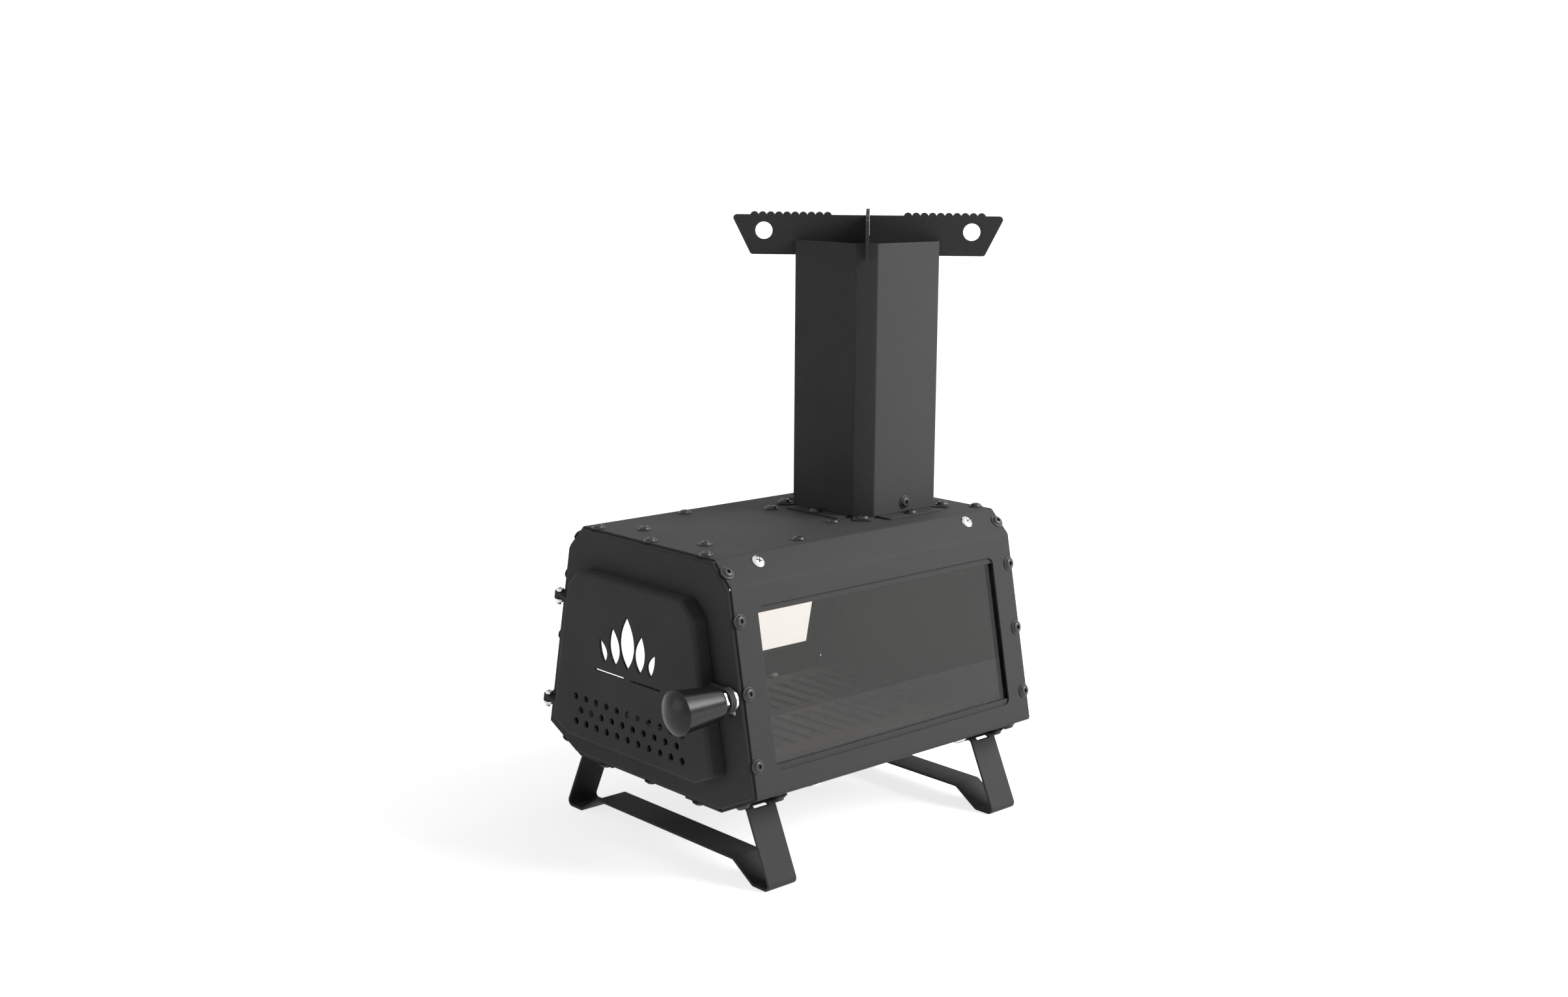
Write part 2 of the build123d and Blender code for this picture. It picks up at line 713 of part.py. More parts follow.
def leg_frame(depth):
    """Strip bent into two feet and a crossbar, with ears reaching rearward to their screws."""
    half_sheet = leg_sheet / 2
    ground = half_sheet - base_height
    right = [
        (crossbar_half, ground + crossbar_rise),
        (foot_inner, ground),
        (foot_outer - half_sheet, ground),
        hip_point(leg_root_inset, half_sheet),
        hip_point(leg_flange_inset, half_sheet),
    ]
    left = [(-across, height) for across, height in reversed(right)]
    with BuildPart() as frame:
        with BuildSketch(front_plane.offset(-depth)):
            with BuildLine():
                FilletPolyline(*left, *right, radius=leg_bend_radius)
            trace(line_width=leg_sheet)
        extrude(amount=-leg_strip)
        for side, wall in ((1, hip_right), (-1, hip_left)):
            flange_middle = side * (hip_length / 2 - leg_flange_inset - ear_width / 2)
            with BuildSketch(wall_plane(wall)) as ear:
                with Locations((flange_middle, depth + leg_strip)):
                    Rectangle(ear_width, ear_reach, align=(Align.CENTER, Align.MIN))
                fillet(ear.vertices().group_by(Axis.Y)[-1], radius=ear_corner_radius)
            extrude(amount=leg_sheet)
        root_x, root_z = hip_point(leg_root_inset, leg_sheet + leg_slot_height / 2)
        for side in (1, -1):
            with Locations((side * root_x, front_y + depth + leg_strip / 2, base_height + root_z)):
                Box(4 * leg_bend_radius, leg_slot_length, leg_slot_height, mode=Mode.SUBTRACT)
        clearance_holes(leg_spots, 2 * leg_sheet)
    return frame.part


save(leg_frame(leg_depth_front), "leg_frame_front")
save(leg_frame(leg_depth_rear), "leg_frame_rear")

# Fire grate: slotted plate with two folded sides
grate_foot = 2 * sheet
with BuildPart() as fire_grate:
    with BuildSketch(front_plane.offset(-(body_length - grate_length) / 2)):
        with Locations((0, grate_foot)):
            Rectangle(grate_width, grate_height, align=(Align.CENTER, Align.MIN))
            inner_width = grate_width - 2 * grate_sheet
            inner_height = grate_height - grate_sheet
            Rectangle(inner_width, inner_height, align=(Align.CENTER, Align.MIN), mode=Mode.SUBTRACT)
    extrude(amount=-grate_length)
    with BuildSketch(Plane((0, front_y + body_length / 2, base_height + grate_foot + grate_height))):
        with GridLocations(grate_slot_length + 2 * grate_slot_width, grate_slot_pitch, 2, grate_rows):
            SlotOverall(grate_slot_length, grate_slot_width)
    extrude(amount=-2 * grate_sheet, mode=Mode.SUBTRACT)
save(fire_grate.part, "fire_grate")

# Door with its vents, a plain flame cut-out, hinge ears and the ear of the latch
door_edge_right = door_shift + door_shoulder_half + (door_shoulder - latch_height) * side_slope
spindle_bore = spindle_radius + running_fit


def flame_leaf(height, width, lean):
    """One tongue of flame standing on the sketch's origin, in outline."""
    with BuildSketch() as leaf:
        with BuildLine():
            foot = (0, 0)
            tip = (lean, height)
            Spline(foot, (width / 2, flame_belly * height), tip)
            Spline(foot, (-width / 2, flame_belly * height), tip)
        make_face()
    return leaf.sketch


with BuildPart() as door_panel:
    extrude(door_outline(-door_stand, 0, door_corner_radius), amount=-(door_stand - door_gap))
    fillet(door_panel.edges().group_by(Axis.Y)[0], radius=door_bend_radius)
    hollow = door_outline(door_sheet - door_stand, door_sheet, door_corner_radius - door_sheet)
    extrude(hollow, amount=-door_stand, mode=Mode.SUBTRACT)
    with BuildSketch(front_plane.offset(door_stand)):
        with Locations((door_shift, vent_row_height)):
            with GridLocations(vent_pitch, 2 * vent_row_pitch, vent_count, 2):
                Circle(vent_radius)
            with GridLocations(vent_pitch, 0, vent_count - 1, 1):
                Circle(vent_radius)
        for step in (-2, -1, 0, 1, 2):
            scale = 1 - flame_shrink * abs(step)
            across = step * flame_gap * (1 - flame_crowding * abs(step))
            with Locations((door_shift + across, flame_base)):
                add(flame_leaf(scale * flame_height, scale * flame_width, flame_lean * step))
        slot_reach = (hearth_slot + hearth_bridge) / 4
        slot_height = flame_base - hearth_drop
        with Locations((door_shift - slot_reach, slot_height), (door_shift + slot_reach, slot_height)):
            SlotOverall((hearth_slot - hearth_bridge) / 2, hearth_slot_width)
    extrude(amount=-2 * door_sheet, mode=Mode.SUBTRACT)
    for plane in hinge_planes:
        with BuildSketch(plane.offset(ear_play / 2)):
            Circle(ear_radius)
            Rectangle(ear_length, 2 * ear_radius, align=(Align.MIN, Align.CENTER))
            Circle(ear_bore, mode=Mode.SUBTRACT)
        extrude(amount=ear_thickness)
    with BuildSketch(front_plane.offset(latch_ear_back)):
        with Locations((latch_x, latch_height)):
            Circle(latch_ear_radius)
            reach = latch_x - door_edge_right + door_sheet
            Rectangle(reach, 2 * latch_ear_radius, align=(Align.MAX, Align.CENTER))
            Circle(spindle_bore, mode=Mode.SUBTRACT)
    extrude(amount=latch_ear_sheet)
save(door_panel.part, "door_panel")


def latch_plane(distance):
    """Plane facing the user on the latch's axis, at a distance in front of the plate."""
    place = (latch_x, front_y - distance, base_height + latch_height)
    return Plane(place, x_dir=(1, 0, 0), z_dir=(0, -1, 0))


def turned_ring(name, distance, outer_radius, bore_radius, length):
    """Plain ring on the latch's axis, its rear face at a distance in front of the plate."""
    with BuildPart() as ring:
        with BuildSketch(latch_plane(distance)):
            Circle(outer_radius)
            Circle(bore_radius, mode=Mode.SUBTRACT)
        extrude(amount=length)
    save(ring.part, name)


turned_ring("latch_washer", washer_gap, washer_radius, spindle_bore, washer_thickness)
turned_ring("latch_boss", boss_back, latch_boss_radius, spindle_bore, latch_boss_length)
with BuildPart() as latch_nut:
    with BuildSketch(latch_plane(nut_back)):
        RegularPolygon(latch_nut_flats / 2, 6, major_radius=False)
        Circle(spindle_bore, mode=Mode.SUBTRACT)
    extrude(amount=latch_nut_height)
save(latch_nut.part, "latch_nut")
with BuildPart() as latch_knob:
    with BuildSketch(Plane(latch_plane(knob_back).origin, x_dir=(1, 0, 0), z_dir=(0, 0, 1))):
        with BuildLine():
            rim = (knob_radius, knob_dome - knob_length)
            FilletPolyline((spindle_bore, 0), (knob_base_radius, 0), rim, radius=knob_base_round)
            TangentArc((0, -knob_length), rim, tangent=(1, 0))
            Polyline((0, -knob_length), (0, -knob_bore_depth), (spindle_bore, -knob_bore_depth))
            Line((spindle_bore, -knob_bore_depth), (spindle_bore, 0))
        make_face()
    revolve(axis=Axis(latch_plane(0).origin, (0, 1, 0)))
save(latch_knob.part, "latch_knob")
spindle_front = knob_back + knob_bore_depth - latch_play
spindle_shoulder = washer_gap - latch_play
tongue_front = -(sheet + tongue_gap)
with BuildPart() as latch_spindle:
    with BuildSketch(latch_plane(spindle_front)):
        Circle(spindle_radius)
    extrude(amount=-(spindle_front - spindle_shoulder))
    with BuildSketch(latch_plane(spindle_shoulder)):
        Circle(spindle_tail_radius)
    extrude(amount=-(spindle_shoulder - tongue_front))
    with BuildSketch(latch_plane(tongue_front)):
        Circle(tongue_screw_radius + running_fit)
    extrude(amount=2 * tongue_screw_radius, mode=Mode.SUBTRACT)
save(latch_spindle.part, "latch_spindle")
with BuildPart() as latch_tongue:
    with BuildSketch(latch_plane(tongue_front)):
        Circle(tongue_width / 2)
        Rectangle(tongue_width, tongue_length, align=(Align.CENTER, Align.MAX))
        Circle(tongue_screw_radius + running_fit, mode=Mode.SUBTRACT)
    extrude(amount=-tongue_thickness)
    tip_edges = latch_tongue.edges().filter_by(Axis.Y).group_by(Axis.Z)[0]
    fillet(tip_edges, radius=tongue_width / 4)
save(latch_tongue.part, "latch_tongue")
with BuildPart() as latch_screw:
    with BuildSketch(latch_plane(tongue_front - tongue_thickness)):
        Circle(tongue_screw_radius)
    extrude(amount=tongue_thickness + 2 * tongue_screw_radius - latch_play)
    with BuildSketch(latch_plane(tongue_front - tongue_thickness)):
        Circle(tongue_head_radius)
    extrude(amount=-tongue_head_height)
save(latch_screw.part, "latch_screw")

# Hinge bolts and nuts on the slanted axis
ear_stack = ear_thickness + ear_play / 2
hinge_shank = 2 * ear_stack + hinge_nut_height + hinge_bolt_tail
head_radii = (hinge_head_radius, hinge_head_radius, hinge_head_top_radius)
head_heights = (0, hinge_head_edge, hinge_head_height)
hinge_bolt = turned_screw(head_radii, head_heights, hinge_bolt_radius, hinge_shank)
hinge_top_spots = [plane.offset(ear_stack).location for plane in hinge_planes]
hinge_nut_spots = [plane.offset(-ear_stack).location for plane in hinge_planes]
save_group("hinge_bolts", (hinge_bolt, hinge_top_spots))
hinge_nut = hex_nut(hinge_nut_flats, hinge_nut_height, hinge_bolt_radius + running_fit)
save_group("hinge_nuts", (hinge_nut, hinge_nut_spots))

# Fasteners of the fire box, chimney, windows and legs, with a nut behind each screw
standard_nut = hex_nut(nut_flats, nut_height, screw_radius + running_fit)
simple_stacks = {
    "hob": (hob_spots, sheet + hob_sheet, button_screw),
    "chimney_side": (chimney_side_spots, collar_inset + sheet, button_screw),
    "window_upper": (window_top_spots, sheet + 2 * rail_sheet, truss_screw),
    "window_lower": (window_bottom_spots, sheet + 2 * rail_sheet, truss_screw),
}
for name, (spots, stack, screw_maker) in simple_stacks.items():
    save_group(f"{name}_screws", (screw_maker(stack + nut_height + screw_tail), spots))
    save_group(f"{name}_nuts", (standard_nut, sunk(spots, stack)))
wall_stack = flange_inset + sheet
floor_stack = plate_floor + sheet
wall_screw = button_screw(wall_stack + nut_height + screw_tail)
floor_screw = button_screw(floor_stack + nut_height + screw_tail)
end_stacks = {"front_plate": (front_walls, front_floor), "rear_plate": (rear_walls, rear_floor)}
for name, (walls, floor) in end_stacks.items():
    save_group(f"{name}_screws", (wall_screw, walls), (floor_screw, floor))
    floor_seats = sunk(floor[:2], floor_stack) + sunk(floor[2:], floor_stack - sheet)
    save_group(f"{name}_nuts", (standard_nut, sunk(walls, wall_stack) + floor_seats))
collar_screw = button_screw(2 * sheet + nut_height + screw_tail)
save_group("collar_screws", (collar_screw, sunk(tab_spots, -sheet)))
save_group("collar_nuts", (standard_nut, sunk(tab_spots, sheet)))
front_leg_spots = leg_spots[0::2]
rear_leg_spots = leg_spots[1::2]
front_leg_screw = button_screw(leg_sheet + sheet + nut_height + screw_tail)
rear_leg_screw = button_screw(leg_sheet + wall_stack + nut_height + screw_tail)
front_leg_set = (front_leg_screw, sunk(front_leg_spots, -leg_sheet))
rear_leg_set = (rear_leg_screw, sunk(rear_leg_spots, -leg_sheet))
save_group("leg_screws", front_leg_set, rear_leg_set)
save_group("leg_nuts", (standard_nut, sunk(front_leg_spots, sheet) + sunk(rear_leg_spots, wall_stack)))
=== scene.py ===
from collections import namedtuple
from math import cos, pi, radians, sin, tan

import bmesh
import bpy
import numpy as np
from mathutils import Matrix, Vector


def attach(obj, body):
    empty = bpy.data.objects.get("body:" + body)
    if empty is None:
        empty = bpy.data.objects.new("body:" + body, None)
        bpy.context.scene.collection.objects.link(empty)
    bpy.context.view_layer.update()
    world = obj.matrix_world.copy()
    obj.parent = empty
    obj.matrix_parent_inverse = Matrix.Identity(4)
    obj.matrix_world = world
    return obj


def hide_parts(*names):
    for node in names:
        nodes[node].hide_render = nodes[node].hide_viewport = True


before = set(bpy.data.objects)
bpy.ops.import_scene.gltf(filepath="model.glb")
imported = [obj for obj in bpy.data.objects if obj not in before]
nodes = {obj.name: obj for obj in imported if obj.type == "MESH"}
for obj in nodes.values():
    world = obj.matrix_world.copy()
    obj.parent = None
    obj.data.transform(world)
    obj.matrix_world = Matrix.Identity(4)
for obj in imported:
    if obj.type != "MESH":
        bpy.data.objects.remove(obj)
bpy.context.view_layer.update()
scene = bpy.context.scene
MM = 0.001

# Camera: the photograph's viewing angle, lens and framing
VIEW_AZIMUTH = radians(47.54)
VIEW_ELEVATION = radians(10.46)
VIEW_ROLL = radians(0.45)
VIEW_TARGET = Vector((-5.13, 22.78, 281.05)) * MM
VIEW_DISTANCE = 1.58016
VIEW_LENS = 42.608
VIEW_SHIFT = (-0.00056, -0.00425)
SENSOR_WIDTH = 36.0

# Floor and surroundings: metres from the middle of the stove, and strengths, where 1 is white
FLOOR_REACH = 12.0
FLOOR_COLOUR = (0.82, 0.82, 0.82, 1)
FLOOR_ROUGHNESS = 0.9
FLOOR_GLOSS = 0.1
GLOW_DISTANCES = (0.2, 0.8)
GLOW_STRENGTHS = (0.77, 1.0)
WORLD_STRENGTHS = (0.14, 1.0)
WHITE = (1, 1, 1, 1)

# Lamps in metres and watts: name, place, size and power
LAMP_AIM = Vector((0, 0, 0.22))
LAMPS = (
    ("key_right", (1.5, 1.2, 1.35), (1.3, 1.3), 64),
    ("fill_front", (-0.5, -1.7, 0.5), (1.0, 0.8), 3),
    ("back_top", (0.5, 1.9, 1.9), (1.4, 1.0), 6),
)

# Fasteners in millimetres: a head is a row of (radius, height above the seat)
RING_SIDES = 24
BUTTON_HEAD = (
    (5.9, 0), (5.9, 0.65), (5.65, 0.9), (4.75, 0.95), (4.55, 1.25),
    (4.3, 1.9), (3.8, 2.45), (3.1, 2.75), (2.3, 2.8),
)
TRUSS_HEAD = ((5.6, 0), (5.6, 0.4), (5.25, 0.95), (4.55, 1.45), (3.6, 1.85), (2.6, 2.1))
HINGE_HEAD = ((3.6, 0), (3.6, 1.1), (3.4, 1.7), (2.9, 2.2), (2.3, 2.5))
SOCKET_FLATS = 3.2
SOCKET_DEPTH = 1.7
SOCKET_FLARE = 0.25
SOCKET_EDGE = 0.12
SOCKET_CONE = 0.4
SHANK_RADIUS = 2.5
SHANK_EDGE = 0.4
HINGE_SHANK_RADIUS = 2.0
SPINDLE_RADIUS = 5.0
NUT_FLATS = 8.0
HINGE_NUT_FLATS = 7.0
LATCH_NUT_FLATS = 16.0
NUT_CROWN = 0.95
NUT_BEVEL = radians(30)
BORE_EDGE = 0.35
BORE_PLAY = 0.02
THREAD_PITCH = 0.7
THREAD_DEPTH = 0.3
THREAD_TURNS = 4
SHARP_ANGLE = radians(32)

# A cross recess: its arms, and its steps as (share of its size, height above the top of the head)
CROSS_LENGTH = 2.7
CROSS_WIDTH = 0.75
CROSS_STEPS = ((1.0, 0.03), (0.9, -0.3), (0.25, -1.5))
HINGE_CROSS = 0.75
NEAR_ZERO = 1e-6

# How the plain fasteners are read from their solids: the weld in metres, the rest in millimetres
WELD_REACH = 2e-6
PARALLEL_COSINE = 0.999
HEAD_OVERHANG = 0.5
LENGTH_DIGITS = 1
FIRE_BOX_MIDDLE = np.array((0, 30, 150))
SCREW_TURN = 2 * pi
DIRECTIONS = ("outward", "corner")
Seat = namedtuple("Seat", ("place", "outward", "corner", "length"))

# Finishes, as linear colours: dark, light, and a lighter edge that is partly wear and partly painted
# highlight
COAT = ((0.034, 0.034, 0.0355, 1), (0.046, 0.046, 0.0475, 1), (0.085, 0.085, 0.088, 1))
ZINC = ((0.56, 0.57, 0.58, 1), (0.78, 0.79, 0.80, 1), (0.86, 0.86, 0.86, 1))
OXIDE = ((0.010, 0.010, 0.011, 1), (0.019, 0.019, 0.020, 1), (0.050, 0.050, 0.050, 1))
BAKELITE = ((0.007, 0.007, 0.0075, 1), (0.012, 0.012, 0.0125, 1), (0.016, 0.016, 0.0165, 1))
SOOT = ((0.008, 0.008, 0.008, 1), (0.024, 0.022, 0.020, 1), (0.045, 0.040, 0.036, 1))
# Painted shade: the dark colour that recesses turn towards, and how far in metres recesses are looked for
RECESS_SHADE_COLOUR = (0.012, 0.011, 0.010, 1)
RECESS_SHADE_REACH = 0.0016
GLASS_TINT = (0.82, 0.80, 0.77, 1)
GLASS_IOR = 1.47

# Spans of noise, of the cosine at an edge (wear and painted highlight) and of openness (painted shade in
# recesses), and the shares and roughness they turn into
BLOTCH_LEVELS = (0.3, 0.7)
SPECKLE_LEVELS = (0.35, 0.7)
SPECKLE_SHARE = 0.45
EDGE_COSINES = (0.985, 0.86)
EDGE_PATCH_LEVELS = (0.38, 0.62)
EDGE_PATCH_SHARES = (0.25, 1.0)
RECESS_SHADE_OPENNESS = (0.35, 0.85)
HAZE_LEVELS = (0.45, 0.8)
HAZE_ROUGHNESS = (0.0, 0.02)
RAY_SAMPLES = 6


def view_axes():
    """Right, up and backward directions of the camera."""
    right = Vector((cos(VIEW_AZIMUTH), sin(VIEW_AZIMUTH), 0))
    forward = Vector((
        -sin(VIEW_AZIMUTH) * cos(VIEW_ELEVATION),
        cos(VIEW_AZIMUTH) * cos(VIEW_ELEVATION),
        -sin(VIEW_ELEVATION),
    ))
    up = right.cross(forward)
    rolled_right = right * cos(VIEW_ROLL) + up * sin(VIEW_ROLL)
    rolled_up = up * cos(VIEW_ROLL) - right * sin(VIEW_ROLL)
    return rolled_right, rolled_up, -forward


def add_camera():
    """Camera on the fitted line of sight."""
    data = bpy.data.cameras.new("camera")
    data.lens = VIEW_LENS
    data.sensor_width = SENSOR_WIDTH
    data.shift_x, data.shift_y = VIEW_SHIFT
    camera = bpy.data.objects.new("camera", data)
    scene.collection.objects.link(camera)
    right, up, back = view_axes()
    turn = Matrix((right, up, back)).transposed().to_4x4()
    camera.matrix_world = Matrix.Translation(VIEW_TARGET + back * VIEW_DISTANCE) @ turn
    scene.camera = camera


def tree_node(tree, kind, *options, **sockets):
    """New node with (property, value) options; its inputs, spaces as underscores, get a value or a link."""
    node = tree.nodes.new(kind)
    for option, value in options:
        setattr(node, option, value)
    for name, value in sockets.items():
        label = name.replace("_", " ")
        socket = [free for free in node.inputs if free.name == label and free.enabled][0]
        if isinstance(value, bpy.types.NodeSocket):
            tree.links.new(value, socket)
        else:
            socket.default_value = value
    return node


def shown(node):
    """The node's first output that its options leave in use."""
    return [socket for socket in node.outputs if socket.enabled][0]


def computed(tree, kind, operation, *values):
    """Result of a Math or Vector Math node over linked values."""
    node = tree_node(tree, kind, ("operation", operation))
    for value, socket in zip(values, node.inputs):
        tree.links.new(value, socket)
    return shown(node)


def ranged(tree, value, span, result=(0.0, 1.0)):
    """Map a value from one span to another."""
    return shown(tree_node(
        tree, "ShaderNodeMapRange", Value=value,
        From_Min=span[0], From_Max=span[1], To_Min=result[0], To_Max=result[1],
    ))


def blended(tree, share, first, second):
    """Mix two colours."""
    return shown(tree_node(tree, "ShaderNodeMix", ("data_type", "RGBA"), Factor=share, A=first, B=second))


def own_place(tree):
    """Place on the object, in its own coordinates."""
    return tree.nodes.new("ShaderNodeTexCoord").outputs["Object"]


def noise(tree, scale, detail, roughness=0.5):
    """Noise that stays on the object."""
    return shown(tree_node(
        tree, "ShaderNodeTexNoise", Vector=own_place(tree), Scale=scale, Detail=detail, Roughness=roughness
    ))


def plain_material(name, **sockets):
    """New material, its node tree and its surface shader, with plain values on the shader's sockets."""
    material = bpy.data.materials.new(name)
    material.use_nodes = True
    shader = material.node_tree.nodes["Principled BSDF"]
    for socket, value in sockets.items():
        shader.inputs[socket.replace("_", " ")].default_value = value
    return material, material.node_tree, shader


def finish_material(name, colours, roughness, blotch_scale, grain, edge_radius, recess_shade=0.0, **plain):
    """Surface with blotched and speckled colour, varied roughness, fine grain, and softened edges lightened
    in patches, partly as wear and partly as a painted highlight.

    roughness is its lowest and highest, grain is (scale, depth in metres, strength), edge_radius is in
    metres, and recess_shade is how far painted shade darkens recesses, from 0 to 1."""
    material, tree, shader = plain_material(name, **plain)
    dark, light, worn_and_highlit_edge = colours
    grain_scale, grain_depth, grain_strength = grain
    blotch = noise(tree, blotch_scale, detail=6.0, roughness=0.62)
    fine = noise(tree, grain_scale, detail=3.0, roughness=0.65)
    mottle = ranged(tree, blotch, BLOTCH_LEVELS)
    speckle = ranged(tree, fine, SPECKLE_LEVELS)
    shade = shown(tree_node(tree, "ShaderNodeMix", Factor=SPECKLE_SHARE, A=mottle, B=speckle))
    colour = blended(tree, shade, dark, light)
    # Edges are lightened towards the edge colour in patches: partly wear, partly a painted highlight
    rounded = shown(tree_node(tree, "ShaderNodeBevel", ("samples", RAY_SAMPLES), Radius=edge_radius))
    facing = tree.nodes.new("ShaderNodeNewGeometry").outputs["Normal"]
    bend = computed(tree, "ShaderNodeVectorMath", "DOT_PRODUCT", rounded, facing)
    rim = ranged(tree, bend, EDGE_COSINES)
    edge_patches = ranged(tree, blotch, EDGE_PATCH_LEVELS, EDGE_PATCH_SHARES)
    worn_and_highlit = computed(tree, "ShaderNodeMath", "MULTIPLY", rim, edge_patches)
    colour = blended(tree, worn_and_highlit, colour, worn_and_highlit_edge)
    # Painted shade: recesses found by ambient occlusion are darkened towards a dark colour
    if recess_shade:
        around = tree_node(
            tree, "ShaderNodeAmbientOcclusion", ("samples", RAY_SAMPLES), Distance=RECESS_SHADE_REACH
        )
        recess = ranged(tree, around.outputs["AO"], RECESS_SHADE_OPENNESS, (recess_shade, 0.0))
        colour = blended(tree, recess, colour, RECESS_SHADE_COLOUR)
    bump = tree_node(
        tree, "ShaderNodeBump", Height=fine, Distance=grain_depth, Strength=grain_strength, Normal=rounded
    )
    tree.links.new(colour, shader.inputs["Base Color"])
    tree.links.new(ranged(tree, blotch, BLOTCH_LEVELS, roughness), shader.inputs["Roughness"])
    tree.links.new(shown(bump), shader.inputs["Normal"])
    return material


def glass_material():
    """Clear heat-resistant pane with a faint warm tint and a trace of haze."""
    material, tree, shader = plain_material(
        "heat_glass", Base_Color=GLASS_TINT, Transmission_Weight=1.0, IOR=GLASS_IOR
    )
    haze = noise(tree, scale=22.0, detail=4.0)
    tree.links.new(ranged(tree, haze, HAZE_LEVELS, HAZE_ROUGHNESS), shader.inputs["Roughness"])
    return material


powder_coat = finish_material(
    "powder_coat", COAT, roughness=(0.68, 0.78), blotch_scale=16.0, grain=(1100.0, 0.0002, 0.7),
    edge_radius=0.0006, Specular_IOR_Level=0.25,
)
black_oxide = finish_material(
    "black_oxide", OXIDE, roughness=(0.34, 0.46), blotch_scale=140.0, grain=(2500.0, 0.00004, 0.3),
    edge_radius=0.0002,
)
# Bright zinc gets painted shade in its recesses, such as the cross recesses of its screws
bright_zinc = finish_material(
    "bright_zinc", ZINC, roughness=(0.18, 0.30), blotch_scale=160.0, grain=(2200.0, 0.00003, 0.2),
    edge_radius=0.0002, recess_shade=0.95, Metallic=1.0,
)
black_knob = finish_material(
    "black_knob", BAKELITE, roughness=(0.22, 0.27), blotch_scale=60.0, grain=(900.0, 0.00001, 0.06),
    edge_radius=0.0022, Specular_IOR_Level=0.26,
)
sooty_steel = finish_material(
    "sooty_steel", SOOT, roughness=(0.58, 0.8), blotch_scale=35.0, grain=(1100.0, 0.00015, 0.6),
    edge_radius=0.0004,
)
heat_glass = glass_material()


def geometry_tree(name, **inputs):
    """Geometry tree that takes a geometry and named inputs; with it, what it is given and its result."""
    tree = bpy.data.node_groups.new(name, "GeometryNodeTree")
    for label, kind in {"Geometry": "Geometry", **inputs}.items():
        tree.interface.new_socket(label.replace("_", " "), in_out="INPUT", socket_type=f"NodeSocket{kind}")
    tree.interface.new_socket("Geometry", in_out="OUTPUT", socket_type="NodeSocketGeometry")
    given = tree.nodes.new("NodeGroupInput").outputs
    result = tree.nodes.new("NodeGroupOutput").inputs["Geometry"]
    return tree, given, result


def bend_tree():
    """Geometry tree that welds a solid's loose triangles and smooths every edge flatter than an angle."""
    tree, given, result = geometry_tree("soft_bends", Sharp_angle="Float")
    tree.interface.items_tree["Sharp angle"].default_value = SHARP_ANGLE
    weld = tree_node(tree, "GeometryNodeMergeByDistance", Geometry=given["Geometry"], Distance=WELD_REACH)
    faces = tree_node(tree, "GeometryNodeSetShadeSmooth", ("domain", "FACE"), Geometry=shown(weld))
    fold = tree.nodes.new("GeometryNodeInputMeshEdgeAngle").outputs["Unsigned Angle"]
    flat = tree_node(
        tree, "FunctionNodeCompare", ("operation", "LESS_EQUAL"), A=fold, B=given["Sharp angle"]
    )
    edges = tree_node(
        tree, "GeometryNodeSetShadeSmooth", ("domain", "EDGE"),
        Geometry=shown(faces), Shade_Smooth=shown(flat),
    )
    tree.links.new(shown(edges), result)
    return tree


SOFT_BENDS = bend_tree()


def dress(name, material):
    """Give a CAD node its finish and smooth bends."""
    node = nodes[name]
    node.data.materials.clear()
    node.data.materials.append(material)
    node.modifiers.new("soft_bends", "NODES").node_group = SOFT_BENDS


def ring(reach, height):
    """Points round the axis; reach may follow the angle, and height the radius."""
    points = []
    for step in range(RING_SIDES):
        turn = 2 * pi * step / RING_SIDES
        radius = reach(turn) if callable(reach) else reach
        level = height(radius) if callable(height) else height
        points.append(Vector((radius * cos(turn), radius * sin(turn), level)))
    return points


def hexagon(flats):
    """How far a hexagon's side is from its axis, at an angle from one of its corners."""
    return lambda turn: flats / 2 / cos(turn % (pi / 3) - pi / 6)


def cross(scale):
    """How far the edge of a cross recess is from its axis, at an angle from one of its arms."""
    def reach(turn):
        run = abs(cos(turn)) + NEAR_ZERO
        rise = abs(sin(turn)) + NEAR_ZERO
        level_arm = min(CROSS_LENGTH / run, CROSS_WIDTH / rise)
        upright_arm = min(CROSS_LENGTH / rise, CROSS_WIDTH / run)
        return scale * max(level_arm, upright_arm)
    return reach


def ringed_mesh(name, rings, hollow=False):
    """Mesh bridged over rings in millimetres, capped at both ends, or closed round a bore when hollow."""
    shape = bmesh.new()
    rows = [[shape.verts.new(point * MM) for point in points] for points in rings]
    pairs = list(zip(rows, rows[1:]))
    if hollow:
        pairs.append((rows[-1], rows[0]))
    for lower, upper in pairs:
        for step in range(RING_SIDES):
            after = (step + 1) % RING_SIDES
            shape.faces.new((lower[step], lower[after], upper[after], upper[step]))
    if not hollow:
        shape.faces.new(rows[0])
        shape.faces.new(rows[-1])
    bmesh.ops.recalc_face_normals(shape, faces=shape.faces)
    mesh = bpy.data.meshes.new(name)
    shape.to_mesh(mesh)
    shape.free()
    mesh.shade_smooth()
    mesh.set_sharp_from_angle(angle=SHARP_ANGLE)
    return mesh


def shank_rings(radius, length, turns=0):
    """Rings up a shank from its chamfered tip, with thread grooves next to the tip."""
    tip = SHANK_EDGE - length
    rings = [ring(radius - SHANK_EDGE, -length), ring(radius, tip)]
    for turn in range(turns):
        crest = tip + turn * THREAD_PITCH
        rings.append(ring(radius - THREAD_DEPTH, crest + THREAD_PITCH / 2))
        rings.append(ring(radius, crest + THREAD_PITCH))
    return rings + [ring(radius, 0)]


